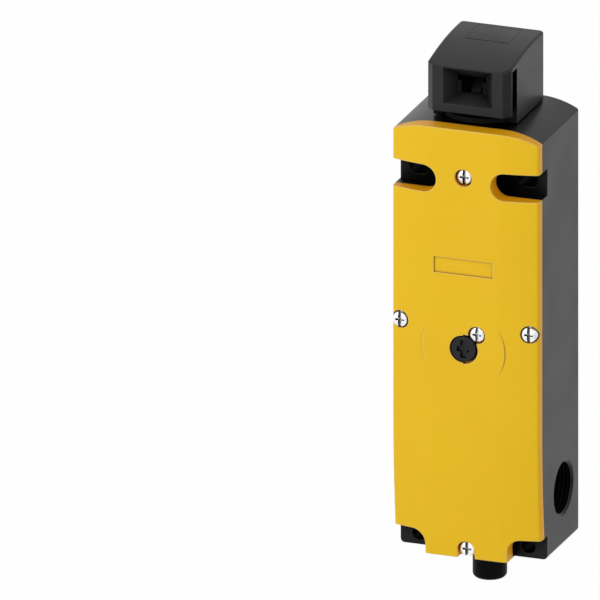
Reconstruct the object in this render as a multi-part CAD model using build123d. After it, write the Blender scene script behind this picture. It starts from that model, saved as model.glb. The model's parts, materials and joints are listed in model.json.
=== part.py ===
from build123d import *
from math import cos, pi, radians, sin, sqrt
import os

# Tongue interlock switch with a spring-locked solenoid, in millimetres.
# Z is up and X is the width. Depth is measured forward from the mounting face,
# so a depth d lies at Y = -d. Heights are measured from the bottom of the housing.
# The origin lies on the mounting face, midway between the two lower fixing holes.

# Housing and its front outline
body_width = 54.0
crown_height = 158.5
shoulder_fall = 3.6
crown_flat_width = 25.4
bottom_corner_radius = 1.5
back_edge_radius = 1.2
well_front_wall = 2.2
back_wall = 3.0
side_wall = 2.8
recess_drop = 5.1
slot_wall_gap = 2.0
screw_boss_depth = 10.5

# The front leans back below the bend
bend_height = 50.0
bend_radius = 390.0

# Cover
cover_rise = 6.0
cover_wall = 2.2
band_fall = 2.6
edge_fall = 2.8
cover_edge_radius = 1.4
boss_disc_radius = 15.3
plate_width = 21.6
plate_height = 5.7
plate_middle_height = 108.1
plate_recess = 0.45

# Fixing slots at the top and fixing holes at the bottom
slot_drop = 19.3
slot_width = 10.0
slot_inner_x = 10.0
corner_cut_height = 8.8
corner_cut_x = 15.0
corner_cut_radius = 5.0
fixing_spacing = 40.0
fixing_hole_radius = 2.65
fixing_slot_length = 7.3
lower_hole_height = 4.2

# Gasket
gasket_land = 0.9
gasket_width = 1.2
gasket_groove_depth = 1.2

# Cover screws
screw_radius = 1.5
screw_head_radius = 2.8
screw_head_height = 2.9
screw_length = 10.0
counterbore_radius = 3.2
counterbore_floor = 2.1
driver_slot_width = 1.1
driver_cross_width = 0.9
driver_depth = 1.3
top_screw_rise = 1.7
side_screw_x = 23.75
side_screw_height = 85.6
bottom_screw_height = 3.1
seal_screw_x = 4.9
seal_screw_rise = 5.6
seal_head_height = 1.9
seal_head_inset = 0.5
seal_screw_length = 6.4
insert_radius = 1.95
insert_length = 5.0
seal_insert_length = 4.0
insert_inset = 0.4
seat_gap = 0.02

# Auxiliary release
release_drop = 80.5
release_radius = 4.9
release_face_radius = 4.3
release_inset = 1.3
release_rim_inset = 2.5
release_bore_gap = 0.1
release_shaft_radius = 3.0
release_seat_inset = 1.5
release_seat_thickness = 1.4
release_finger_gap = 0.8
release_finger_length = 5.0
release_finger_width = 3.0
release_finger_thickness = 2.4
boss_wall = 1.5
o_ring_section_radius = 0.7
clip_thickness = 0.8
clip_radius = 5.0
stop_step = 0.45

# Conduit entries, M20, with the wall at the thread's outer diameter
conduit_radius = 10.0
conduit_depth = 16.0
conduit_height = 20.9
conduit_length = 12.4
conduit_boss_wall = 2.5

# Connector, M12, at the bottom
connector_radius = 6.0
connector_depth = 16.3
connector_length = 14.6
connector_bore_radius = 4.2
connector_bore_length = 9.0
connector_end_radius = 1.6
connector_shoulder_radius = 6.5
connector_shoulder_length = 0.6
connector_flange_radius = 8.2
connector_flange_thickness = 2.0
connector_gap = 0.05
ring_nut_radius = 8.8
ring_nut_height = 3.0
connector_collar_wall = 1.6
connector_seal_section = 1.0
pin_radius = 0.5
pin_circle_radius = 2.6
pin_count = 4
pin_tip_inset = 1.2
pin_tail = 3.0

# Head
head_width = 30.8
head_back_reach = 18.0
head_front_reach = 17.8
head_chamfer = 2.5
head_clearance = 0.3
roof_rise = 4.5
roof_flat_length = 4.8
roof_radius = 128.0
roof_edge_radius = 1.6
hood_wall = 1.8
inner_corner_radius = 2.0
front_block_rise = 4.5
front_pocket_depth = 2.2
side_gap_reach = 10.0
side_gap_width = 4.8
side_gap_drop = 4.4
mouth_width = 18.0
mouth_rise = 7.5
mouth_height = 13.2
funnel_floor_gap = 0.2
throat_width = 7.8
throat_top_width = 10.4
throat_rise = 3.2
throat_lower_height = 4.3
throat_upper_height = 2.1
guide_plate_thickness = 1.0
guide_plate_width = 18.0
guide_plate_height = 12.0
plug_width = 16.2
plug_length = 13.3
plug_margin = 2.5
plug_gap = 0.1
plug_front_gap = 0.35
plug_thickness = 1.4
plug_ledge = 0.8
plug_lug_inset = 3.0
plug_lug_thickness = 1.2
plug_lug_depth = 5.5

# Head base and its seat in the housing
spigot_radius = 14.0
spigot_gap = 0.1
spigot_bore_radius = 12.2
spigot_depth = 7.2
flange_radius = 14.8
flange_thickness = 1.8
well_floor_gap = 1.5
fork_thickness = 1.2
fork_rise = 4.2
fork_gap = 0.1
fork_bite = 1.0
fork_width = 30.0
fork_back_reach = 12.2
cheek_gap = 14.8
cheek_thickness = 2.0
cheek_length = 26.0
cheek_rise = 6.1
head_seal_section = 0.8
head_seal_rise = 2.3

# Cam wheel
cam_rise = 4.9
cam_disc_radius = 11.4
cam_disc_inner_x = 3.4
cam_disc_outer_x = 5.4
cam_track_radius = 10.6
cam_track_width = 3.6
cam_hub_radius = 5.0
cam_collar_radius = 2.9
cam_collar_width = 14.4
cam_turn = 40.0
cam_gap = 0.3
notch_width = 3.8
notch_floor_radius = 7.0
notch_front_angle = 130.0
notch_top_angle = 40.0
axle_radius = 2.0
axle_gap = 0.05
axle_head_radius = 3.2
axle_head_thickness = 1.0
cam_spring_wire = 0.35
cam_spring_radius = 3.5
cam_spring_turns = 2.0

# Plunger
plunger_radius = 2.5
plunger_gap = 0.05
plunger_stroke = 4.0
neck_radius = 1.6
collar_radius = 3.2
collar_thickness = 1.5
collar_drop = 8.0
neck_above = 4.5
neck_below = 5.0
foot_thickness = 2.0
tail_length = 9.0
plunger_spring_wire = 0.3
plunger_spring_radius = 2.3
plunger_spring_turns = 5.0
plunger_spring_room = 7.3

# Lock slide
lock_stroke = 4.5
slide_thickness = 1.8
slide_width = 12.0
slide_back_reach = 7.0
fork_tip_gap = 0.5
slide_tab_thickness = 1.4
slide_tab_reach = 3.0
slide_tab_drop = 13.0
slide_slot_radius = 1.15
bracket_wall = 1.6
bracket_side_gap = 0.3
bracket_front_reach = 5.0

# Solenoid
yoke_back_gap = 1.0
mechanism_gap = 1.8
armature_radius = 4.0
armature_gap = 0.1
armature_pin_drop = 7.5
armature_pin_radius = 1.0
armature_rod_radius = 2.2
yoke_drop = 8.5
yoke_height = 36.0
yoke_width = 26.0
yoke_depth = 20.0
yoke_wall = 2.5
bobbin_wall = 0.9
bobbin_flange = 1.2
coil_radius = 9.2
core_gap = 0.4
armature_spring_radius = 1.7
armature_spring_wire = 0.3
armature_spring_turns = 6.0
armature_spring_bore = 2.3
armature_spring_room = 10.0

# Contact block
block_top_gap = 2.9
block_height = 22.5
block_width = 40.0
block_back_reach = 11.2
block_front_reach = 9.8
window_width = 31.0
window_height = 8.0
window_gap = 2.2
bridge_width = 25.0
bridge_depth = 4.0
bridge_thickness = 0.8
bridge_play = 0.3
bridge_bore_radius = 1.2
contact_width = 4.0
contact_thickness = 0.8
contact_button_radius = 1.4
contact_button_height = 0.6
terminal_x = 17.8
terminal_screw_radius = 1.25
terminal_head_radius = 2.2
terminal_head_height = 1.6
terminal_screw_length = 5.5
standoff_radius = 3.0

# How far a cutting tool runs past what it cuts
overrun = 10.0

# Places that follow from front to back: the solenoid stands on the back wall,
# the head swivels in front of it, and the parting face clears the head's well
half_width = body_width / 2
base = -lower_hole_height
solenoid_depth = back_wall + yoke_back_gap + yoke_depth / 2
swivel_depth = solenoid_depth + armature_rod_radius + mechanism_gap + collar_radius
parting_depth = swivel_depth + spigot_radius + spigot_gap + well_front_wall
face_depth = parting_depth + cover_rise
recess_depth = parting_depth - recess_drop
release_seat_depth = parting_depth - release_seat_inset
bracket_front = swivel_depth + bracket_front_reach
release_shaft_end = bracket_front + release_finger_gap
slide_back = solenoid_depth - slide_back_reach
slide_tab_front = solenoid_depth + slide_tab_reach
block_back = swivel_depth - block_back_reach
block_front = swivel_depth + block_front_reach
fork_back = swivel_depth - fork_back_reach
head_back = swivel_depth - head_back_reach
head_front = swivel_depth + head_front_reach
roof_flat_depth = head_back + roof_flat_length
plug_back = head_back + plug_margin
plug_front = plug_back + plug_length
side_gap_back = swivel_depth + side_gap_reach
side_gap_front = side_gap_back + side_gap_width
front_block_back = side_gap_back + front_pocket_depth
throat_depth = front_block_back + guide_plate_thickness + funnel_floor_gap

# Places that follow from the crown: the head above it, and below it the slots,
# the contact block, the plunger's collar and the solenoid
shoulder_height = crown_height - shoulder_fall
release_height = crown_height - release_drop
front_block_bottom = crown_height + front_block_rise
cam_height = crown_height + cam_rise
cheek_top = cam_height + cheek_rise
mouth_bottom = crown_height + mouth_rise
mouth_top = mouth_bottom + mouth_height
throat_bottom = mouth_bottom + throat_rise
throat_step = throat_bottom + throat_lower_height
throat_top = throat_step + throat_upper_height
roof_height = mouth_top + roof_rise
well_floor = crown_height - spigot_depth - well_floor_gap
fork_height = well_floor + fork_rise
head_seal_height = fork_height + head_seal_rise
slot_height = crown_height - slot_drop
top_screw_height = slot_height + top_screw_rise
cavity_top = slot_height - slot_width / 2 - side_wall - slot_wall_gap
block_top = cavity_top - block_top_gap
block_bottom = block_top - block_height
collar_height = block_bottom - collar_drop
armature_pin_height = collar_height - armature_pin_drop
yoke_top = armature_pin_height - yoke_drop
yoke_bottom = yoke_top - yoke_height
seal_screw_height = release_height + seal_screw_rise


def up(height):
    """Height above the housing's bottom, as a Z value."""
    return base + height


def setback(height):
    """How far the front leans back at a height."""
    drop = max(bend_height - height, 0.0)
    return bend_radius - sqrt(bend_radius ** 2 - drop ** 2)


def front_prism(sketch, back, front):
    """A front-view outline carried from one depth forward to another."""
    return extrude(Plane.XZ.offset(back) * sketch, amount=front - back)


def rod_y(radius, x, height, back, front):
    return front_prism(Pos(x, up(height)) * Circle(radius), back, front)


def rod_x(radius, left, right, depth, height):
    return extrude(Plane.YZ.offset(left) * Pos(-depth, up(height)) * Circle(radius), amount=right - left)


def rod_z(radius, x, depth, low, high):
    return extrude(Plane.XY.offset(up(low)) * Pos(x, -depth) * Circle(radius), amount=high - low)


def block(left, right, back, front, low, high):
    centre = Pos((left + right) / 2, -(back + front) / 2, up((low + high) / 2))
    return centre * Box(right - left, front - back, high - low)


def both_sides(shape):
    return shape + mirror(shape, about=Plane.YZ)


def front_outline():
    """Housing outline in front view: flat crown, falling shoulders, square foot."""
    crown = crown_flat_width / 2
    with BuildSketch() as outline:
        with BuildLine():
            foot = Polyline((-half_width, up(shoulder_height)), (-half_width, base), (half_width, base),
                            (half_width, up(shoulder_height)))
            flat = Line((crown, up(crown_height)), (-crown, up(crown_height)))
            TangentArc(flat @ 0, foot @ 1, tangent=(1, 0))
            TangentArc(flat @ 1, foot @ 0, tangent=(-1, 0))
        make_face()
        fillet(outline.vertices().sort_by(Axis.Y)[:2], bottom_corner_radius)
    return outline.sketch


def slot_outline():
    """Fixing slots, open at the sides and round at the inner end."""
    reach = half_width + slot_width
    radius = slot_width / 2
    centre = slot_inner_x + radius
    one = Pos(centre, up(slot_height)) * Circle(radius)
    one += Pos((centre + reach) / 2, up(slot_height)) * Rectangle(reach - centre, slot_width)
    return one + mirror(one, about=Plane.YZ)


def corner_outline():
    """Cut-outs in the lower corners, with a round inner corner."""
    reach = half_width + corner_cut_radius
    low = corner_cut_height - 2 * slot_width
    width = reach - corner_cut_x
    one = Pos(corner_cut_x + width / 2, up((corner_cut_height + low) / 2)) * Rectangle(
        width, corner_cut_height - low)
    one = fillet(one.vertices().group_by(Axis.X)[0].sort_by(Axis.Y)[-1:], corner_cut_radius)
    return one + mirror(one, about=Plane.YZ)


def screw_places():
    """Cover screws as X and height."""
    return [(0.0, top_screw_height), (-side_screw_x, side_screw_height),
            (side_screw_x, side_screw_height), (0.0, bottom_screw_height)]


def sealed_outline():
    """Inside of the sealed chamber's outer edge: below the slots and clear of the screws."""
    top = cavity_top + side_wall
    sealed = front_outline() & Pos(0, up(top / 2)) * Rectangle(body_width, top)
    sealed -= corner_outline()
    for x, height in screw_places()[1:3]:
        sealed -= Pos(x, up(height)) * Circle(counterbore_radius + 0.2)
    notch = counterbore_radius
    sealed -= Pos(0, up(bottom_screw_height)) * Circle(notch)
    sealed -= Pos(0, up(bottom_screw_height / 2)) * Rectangle(2 * notch, bottom_screw_height)
    return sealed


def inset(sketch, amount):
    return offset(sketch, amount=-amount, kind=Kind.INTERSECTION)


def lean_path(top_height):
    """Parting line in side view: straight down, then leaning back."""
    low = -overrun
    start = Line((0, -parting_depth, up(top_height)), (0, -parting_depth, up(bend_height)))
    lean = TangentArc(start @ 1, (0, setback(low) - parting_depth, up(low)), tangent=start % 1)
    return Wire([start.edge(), lean.edge()])


def leaning_solid(section):
    """A section in X and forward distance, carried down the leaning front."""
    top_height = crown_height + overrun
    plane = Plane(origin=(0, -parting_depth, up(top_height)), x_dir=(1, 0, 0), z_dir=(0, 0, -1))
    return sweep(plane * section, path=lean_path(top_height))


def cover_section(half, rise, edge_radius):
    """Cover in plan: a flat middle band, side bands that fall away and rounded edges."""
    crown = crown_flat_width / 2
    fall_side = rise - edge_fall
    middle = ((crown + half) / 2, rise - band_fall / 2 + 0.25)
    with BuildSketch() as section:
        with BuildLine():
            Polyline((-half, fall_side), (-half, 0), (half, 0), (half, fall_side))
            Line((crown, rise), (-crown, rise))
            ThreePointArc((half, fall_side), middle, (crown, rise))
            ThreePointArc((-half, fall_side), (-middle[0], middle[1]), (-crown, rise))
        make_face()
        if edge_radius > 0:
            corners = [v for v in section.vertices() if abs(abs(v.X) - half) < 0.01 and v.Y > 0.1]
            fillet(corners, edge_radius)
    return section.sketch


def make_housing():
    body = front_prism(front_outline(), 0, face_depth)
    long_edges = body.edges().filter_by(Axis.Z).sort_by(Axis.Y)[-2:]
    body = fillet(long_edges, back_edge_radius)
    body -= leaning_solid(Pos(0, face_depth / 2) * Rectangle(2 * body_width, face_depth))

    top = cavity_top + side_wall
    plain = front_outline() & Pos(0, up(top / 2)) * Rectangle(body_width, top)
    chamber = inset(plain - corner_outline(), side_wall)
    boss_back = parting_depth - setback(0) - screw_boss_depth
    body -= front_prism(chamber, back_wall, boss_back)
    body -= front_prism(inset(sealed_outline(), side_wall), boss_back - 0.5, face_depth)

    body -= front_prism(slot_outline() + corner_outline(), recess_depth, face_depth)
    groove = inset(sealed_outline(), gasket_land) - inset(sealed_outline(), gasket_land + gasket_width)
    body -= front_prism(groove, 0, face_depth) & gasket_layer()

    for x, height in screw_places():
        lean = setback(height)
        body -= rod_y(insert_radius + seat_gap, x, height, parting_depth - lean - screw_boss_depth + 1.0,
                      face_depth)

    for side in (-1, 1):
        x = side * fixing_spacing / 2
        body -= rod_y(fixing_hole_radius, x, lower_hole_height, -1, face_depth)
        slot = Pos(x, up(slot_height)) * SlotOverall(fixing_slot_length, 2 * fixing_hole_radius)
        body -= front_prism(slot, -1, face_depth)

    inner = half_width - conduit_length
    boss = rod_x(conduit_radius + conduit_boss_wall, inner, half_width - side_wall / 2, conduit_depth,
                 conduit_height)
    body += both_sides(boss)
    body -= rod_x(conduit_radius, -half_width - 1, half_width + 1, conduit_depth, conduit_height)

    collar_outer = ring_nut_radius + seat_gap + connector_collar_wall
    collar_top = side_wall + connector_flange_thickness + ring_nut_height
    body += rod_z(collar_outer, 0, connector_depth, side_wall / 2, collar_top)
    body -= rod_z(ring_nut_radius + seat_gap, 0, connector_depth, side_wall, collar_top + 1)
    body -= rod_z(connector_shoulder_radius + connector_gap, 0, connector_depth, -1, side_wall + 1)

    body -= rod_z(spigot_radius + spigot_gap, 0, swivel_depth, well_floor, crown_height + overrun)
    body -= rod_z(plunger_radius + plunger_gap, 0, swivel_depth, cavity_top - 1, well_floor + 1)
    fork_low = fork_height - fork_thickness / 2 - fork_gap
    fork_high = fork_height + fork_thickness / 2 + fork_gap
    fork_half = fork_width / 2 + fork_gap
    body -= block(-fork_half, fork_half, fork_back - fork_gap, face_depth, fork_low, fork_high)

    for x, height in block_feet():
        body += rod_y(standoff_radius, x, height, back_wall / 2, block_back)
    for height in (yoke_bottom + 4, yoke_top - 4):
        body += rod_y(standoff_radius, 0, height, back_wall / 2, solenoid_depth - yoke_depth / 2)
    return body


def gasket_layer():
    """The layer just behind the parting surface that the seal lies in."""
    low = Pos(0, -gasket_groove_depth / 2) * Rectangle(2 * body_width, gasket_groove_depth)
    return leaning_solid(low)


def make_gasket():
    ring = inset(sealed_outline(), gasket_land + seat_gap)
    ring -= inset(sealed_outline(), gasket_land + gasket_width - seat_gap)
    return front_prism(ring, 0, face_depth) & gasket_layer()


def make_cover():
    skin = leaning_solid(cover_section(half_width, cover_rise, cover_edge_radius))
    skin += rod_y(boss_disc_radius, 0, release_height, parting_depth, face_depth)
    cover = skin & front_prism(front_outline(), 0, 2 * face_depth)
    cuts = slot_outline() + corner_outline()
    cover -= front_prism(cuts, 0, 2 * face_depth)

    hollow = leaning_solid(cover_section(half_width - cover_wall, cover_rise - cover_wall, 0.0))
    upper = front_outline() - slot_outline()
    upper -= Pos(0, up((cavity_top + side_wall) / 2)) * Rectangle(2 * body_width, cavity_top + side_wall)
    upper -= Pos(0, up(top_screw_height)) * Circle(counterbore_radius)
    chambers = inset(sealed_outline(), side_wall) + inset(upper, cover_wall)
    cover -= hollow & front_prism(chambers, 0, 2 * face_depth)

    release_rim = release_radius + release_bore_gap
    cover += rod_y(release_rim + boss_wall, 0, release_height, release_seat_depth - release_seat_thickness,
                   face_depth - cover_wall / 2)
    seal_back = face_depth - seal_head_inset - seal_head_height - seal_screw_length
    cover += rod_y(insert_radius + boss_wall, seal_screw_x, seal_screw_height, seal_back,
                   face_depth - cover_wall / 2)
    cover -= rod_y(release_rim, 0, release_height, release_seat_depth, face_depth + 1)
    cover -= rod_y(release_shaft_radius + axle_gap, 0, release_height, 0, face_depth)
    step = Pos(0, up(release_height)) * Circle(release_rim + stop_step)
    step -= Pos(-half_width, up(release_height)) * Rectangle(2 * half_width, 4 * release_rim)
    cover -= front_prism(step, face_depth - release_inset - stop_step, face_depth + 1)

    for x, height in screw_places():
        floor = parting_depth + counterbore_floor - setback(height)
        cover -= rod_y(counterbore_radius, x, height, floor, 2 * face_depth)
        cover -= rod_y(screw_radius + 0.2, x, height, 0, face_depth)
        if height == bottom_screw_height:
            cover -= block(-counterbore_radius, counterbore_radius, floor, 2 * face_depth, -1, height)
    head_seat = face_depth - seal_head_inset - seal_head_height
    cover -= rod_y(counterbore_radius, seal_screw_x, seal_screw_height, head_seat, face_depth + 1)
    cover -= rod_y(screw_radius + 0.2, seal_screw_x, seal_screw_height, seal_back + 1, face_depth)
    cover -= rod_y(insert_radius + seat_gap, seal_screw_x, seal_screw_height, 0,
                   seal_back + seal_insert_length)

    plate = Pos(0, up(plate_middle_height)) * Rectangle(plate_width, plate_height)
    cover -= front_prism(plate, face_depth - plate_recess, face_depth + 1)
    return cover


def driver_recess(slot_reach, cross_reach, slot_width, cross_width):
    """Combined slot and cross, seen from the front."""
    return Rectangle(slot_width, 2 * slot_reach) + Rectangle(2 * cross_reach, cross_width)


def pan_screw(x, height, seat, head_height, length):
    """Pan-head screw that points back from its seat."""
    top = seat + head_height
    head = rod_y(screw_head_radius, x, height, seat, top)
    rim = head.edges().filter_by(GeomType.CIRCLE).sort_by(Axis.Y)[0]
    head = fillet(rim, 0.45 * head_height)
    screw = head + rod_y(screw_radius, x, height, seat - length, seat)
    recess = driver_recess(screw_head_radius, 0.6 * screw_head_radius,
                           driver_slot_width, driver_cross_width)
    return screw - front_prism(Pos(x, up(height)) * recess, top - driver_depth, top + 1)


def make_cover_screws():
    screws = []
    for x, height in screw_places():
        seat = parting_depth + counterbore_floor - setback(height)
        screws.append(pan_screw(x, height, seat, screw_head_height, screw_length))
    return screws


def make_seal_screw():
    seat = face_depth - seal_head_inset - seal_head_height
    return [pan_screw(seal_screw_x, seal_screw_height, seat, seal_head_height, seal_screw_length - 0.5)]


def make_inserts():
    """Threaded inserts, one behind each screw."""
    inserts = []
    for x, height in screw_places():
        front = parting_depth - setback(height) - insert_inset
        inserts.append((x, height, front - insert_length, front))
    seal_back = face_depth - seal_head_inset - seal_head_height - seal_screw_length
    inserts.append((seal_screw_x, seal_screw_height, seal_back, seal_back + seal_insert_length))
    return [rod_y(insert_radius, x, height, back, front - seat_gap)
            - rod_y(screw_radius + seat_gap, x, height, back - 1, front + 1)
            for x, height, back, front in inserts]


def make_release_knob():
    face = face_depth - release_inset
    rim = face_depth - release_rim_inset
    knob = rod_y(release_radius, 0, release_height, release_seat_depth + seat_gap, rim)
    knob += rod_y(release_face_radius, 0, release_height, rim - 1, face)
    knob += rod_y(release_shaft_radius, 0, release_height, release_shaft_end, rim)
    finger_front = release_shaft_end + release_finger_thickness
    finger = Pos(release_finger_length / 2, up(release_height)) * SlotCenterToCenter(
        release_finger_length, release_finger_width)
    knob += front_prism(finger, release_shaft_end, finger_front)
    groove_front = release_seat_depth + 3.0
    groove = rod_y(2 * release_radius, 0, release_height, groove_front - 2 * o_ring_section_radius,
                   groove_front)
    groove -= rod_y(release_radius - 2 * o_ring_section_radius + release_bore_gap, 0, release_height, 0,
                    face_depth)
    knob -= groove
    clip_front = release_seat_depth - release_seat_thickness - seat_gap
    clip = rod_y(clip_radius, 0, release_height, clip_front - clip_thickness - seat_gap, clip_front)
    clip -= rod_y(release_shaft_radius - 0.7, 0, release_height, 0, face_depth)
    knob -= clip
    recess = driver_recess(0.8 * release_face_radius, 0.62 * release_face_radius, 1.2, 1.2)
    return knob - front_prism(Pos(0, up(release_height)) * recess, face - 2.2, face + 1)


def make_release_seal():
    middle = release_seat_depth + 3.0 - o_ring_section_radius
    ring_radius = release_radius + release_bore_gap - o_ring_section_radius
    plane = Plane(origin=(0, -middle, up(release_height)), z_dir=(0, -1, 0))
    return plane * Torus(ring_radius - seat_gap, o_ring_section_radius - 2 * seat_gap)


def make_release_clip():
    front = release_seat_depth - release_seat_thickness - seat_gap
    clip = rod_y(clip_radius, 0, release_height, front - clip_thickness, front)
    clip -= rod_y(release_shaft_radius - 0.7 + seat_gap, 0, release_height, 0, face_depth)
    throat = 1.8 * release_shaft_radius
    return clip - block(-throat / 2, throat / 2, 0, face_depth, release_height - 2 * clip_radius,
                        release_height)


def make_connector():
    """Connector shell, insert, pins, ring nut and seal."""
    flange_top = side_wall + connector_flange_thickness
    shell = rod_z(connector_radius, 0, connector_depth, -connector_length, side_wall)
    shell = fillet(shell.edges().sort_by(Axis.Z)[0], connector_end_radius)
    shell += rod_z(connector_shoulder_radius, 0, connector_depth, -connector_shoulder_length, side_wall)
    shell += rod_z(connector_flange_radius, 0, connector_depth, side_wall, flange_top)
    floor = connector_bore_length - connector_length
    shell -= rod_z(connector_bore_radius, 0, connector_depth, -connector_length - 1, flange_top + 1)
    seal_radius = (connector_shoulder_radius + connector_flange_radius) / 2
    seal = rod_z(seal_radius + connector_seal_section / 2, 0, connector_depth, side_wall,
                 side_wall + connector_seal_section)
    seal -= rod_z(seal_radius - connector_seal_section / 2, 0, connector_depth, 0, 2 * side_wall)
    shell -= seal

    insert = rod_z(connector_bore_radius - seat_gap, 0, connector_depth, floor, flange_top + 1.5)
    key_x = connector_bore_radius - 0.5
    key = block(-0.5, 0.5, connector_depth + key_x - 0.6, connector_depth + key_x + 0.2,
                floor - 0.7 * connector_bore_length, floor + 1)
    insert += key & rod_z(connector_bore_radius - seat_gap, 0, connector_depth, -connector_length, 1)

    places = [(0.0, connector_depth)]
    for index in range(pin_count):
        angle = radians(45 + 360 / pin_count * index)
        places.append((pin_circle_radius * cos(angle), connector_depth + pin_circle_radius * sin(angle)))
    pins = []
    for x, depth in places:
        low = pin_tip_inset - connector_length
        high = flange_top + 1.5 + pin_tail
        pin = rod_z(pin_radius, x, depth, low, high)
        pins.append(chamfer(pin.edges().sort_by(Axis.Z)[0], 0.4 * pin_radius))
        insert -= rod_z(pin_radius + seat_gap, x, depth, -connector_length, high)

    nut = rod_z(ring_nut_radius, 0, connector_depth, flange_top + seat_gap, flange_top + ring_nut_height)
    nut -= rod_z(connector_bore_radius + 1.6, 0, connector_depth, 0, 2 * ring_nut_height + flange_top)
    for side in (-1, 1):
        nut -= block(side * ring_nut_radius - 1.2, side * ring_nut_radius + 1.2,
                     connector_depth - 1, connector_depth + 1,
                     flange_top + ring_nut_height - 1.2, flange_top + 2 * ring_nut_height)
    return shell, insert, pins, nut, seal


def roof_profile(lowering, back, front):
    """Head in side view, down from the roof: flat at the back, curving down to the front."""
    top = up(roof_height - lowering)
    radius = roof_radius - lowering
    drop = radius - sqrt(radius ** 2 - (front - roof_flat_depth) ** 2)
    floor = up(crown_height + head_clearance)
    with BuildSketch() as profile:
        with BuildLine():
            flat = Line((-back, top), (-roof_flat_depth, top))
            curve = TangentArc(flat @ 1, (-front, top - drop), tangent=(-1, 0))
            Polyline(curve @ 1, (-front, floor), (-back, floor), (-back, top))
        make_face()
    return profile.sketch


def make_hood():
    half = head_width / 2
    outer = extrude(Plane.YZ.offset(-half) * roof_profile(0, head_back, head_front), amount=head_width)
    corners = [e for e in outer.edges().filter_by(Axis.Z) if e.center().Y < -head_front + 0.1]
    outer = chamfer(corners, head_chamfer)
    corners = [e for e in outer.edges().filter_by(Axis.Z) if e.center().Y > -head_back - 0.1]
    outer = fillet(corners, roof_edge_radius)
    rim = [e for e in outer.edges()
           if e.center().Z > up(roof_height - 8) and abs(e.center().X) > half - head_chamfer - 0.1]
    outer = fillet(rim, 0.9)
    shell = outer

    inner_half = half - hood_wall
    inner = extrude(Plane.YZ.offset(-inner_half) * roof_profile(
        hood_wall + 0.2, head_back + hood_wall, side_gap_back), amount=2 * inner_half)
    corners = [e for e in inner.edges().filter_by(Axis.Z) if e.center().Y < -side_gap_back + 0.1]
    shell -= fillet(corners, inner_corner_radius)
    shell -= block(-guide_plate_width / 2, guide_plate_width / 2, side_gap_back - 1, front_block_back, 0,
                   throat_top + 2)
    seat_top = crown_height + head_clearance + flange_thickness + 0.1
    shell -= rod_z(flange_radius + 0.1, 0, swivel_depth, 0, seat_top)
    shell -= block(-half - 1, half + 1, side_gap_back, head_front + 1, 0, front_block_bottom)
    gap_top = roof_height - side_gap_drop
    slit = block(inner_half, half + 1, side_gap_back, side_gap_front, 0, gap_top)
    shell -= both_sides(slit)

    mouth = Pos(0, up((mouth_bottom + mouth_top) / 2)) * Rectangle(mouth_width, mouth_top - mouth_bottom)
    throat = Pos(0, up((throat_bottom + throat_top) / 2)) * Rectangle(
        throat_top_width + 0.6, throat_top - throat_bottom + 0.6)
    funnel = loft([Plane.XZ.offset(throat_depth) * throat, Plane.XZ.offset(head_front) * mouth])
    shell -= funnel
    shell -= front_prism(throat, front_block_back - 1, throat_depth + 0.1)
    seat = Pos(0, up((throat_bottom + throat_top) / 2)) * Rectangle(guide_plate_width, guide_plate_height)
    shell -= front_prism(seat, side_gap_back - 1, front_block_back + guide_plate_thickness)

    window = Pos(0, -(plug_front + plug_back) / 2) * Rectangle(plug_width, plug_front - plug_back)
    ledge = offset(window, amount=-plug_ledge, kind=Kind.INTERSECTION)
    shell -= extrude(Plane.XY.offset(up(roof_height - 2 * hood_wall)) * ledge, amount=overrun)
    pocket = plug_layer()
    shell -= extrude(Plane.XY.offset(up(roof_height - overrun)) * window, amount=2 * overrun) & pocket
    return shell, outer


def plug_layer():
    """The top layer of the roof, as thick as the plug."""
    half = head_width / 2
    whole = extrude(Plane.YZ.offset(-half) * roof_profile(-2, head_back, head_front), amount=head_width)
    under = extrude(Plane.YZ.offset(-half) * roof_profile(plug_thickness, head_back - 1, head_front + 1),
                    amount=head_width)
    return whole - under


def make_top_plug(outer):
    half_plug = plug_width / 2 - plug_gap
    plate = block(-half_plug, half_plug, plug_back + plug_gap, plug_front - plug_front_gap,
                  roof_height - overrun, roof_height + overrun)
    plate = plate & plug_layer() & outer
    lug_half = plug_width / 2 - plug_ledge - plug_gap
    lug = block(lug_half - plug_lug_thickness, lug_half, plug_back + plug_lug_inset,
                plug_front - plug_lug_inset, roof_height - plug_lug_depth, roof_height)
    return plate + both_sides(lug & under_roof())


def under_roof():
    half = head_width / 2
    return extrude(Plane.YZ.offset(-half) * roof_profile(plug_thickness - 0.1, head_back, head_front),
                   amount=head_width)


def make_guide_plate():
    back = front_block_back
    middle = (throat_bottom + throat_top) / 2
    plate = block(-guide_plate_width / 2 + seat_gap, guide_plate_width / 2 - seat_gap, back,
                  back + guide_plate_thickness - seat_gap, middle - guide_plate_height / 2 + seat_gap,
                  middle + guide_plate_height / 2 - seat_gap)
    plate -= block(-throat_width / 2, throat_width / 2, 0, head_front, throat_bottom, throat_top)
    return plate - block(-throat_top_width / 2, throat_top_width / 2, 0, head_front,
                         throat_step, throat_top)


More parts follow.
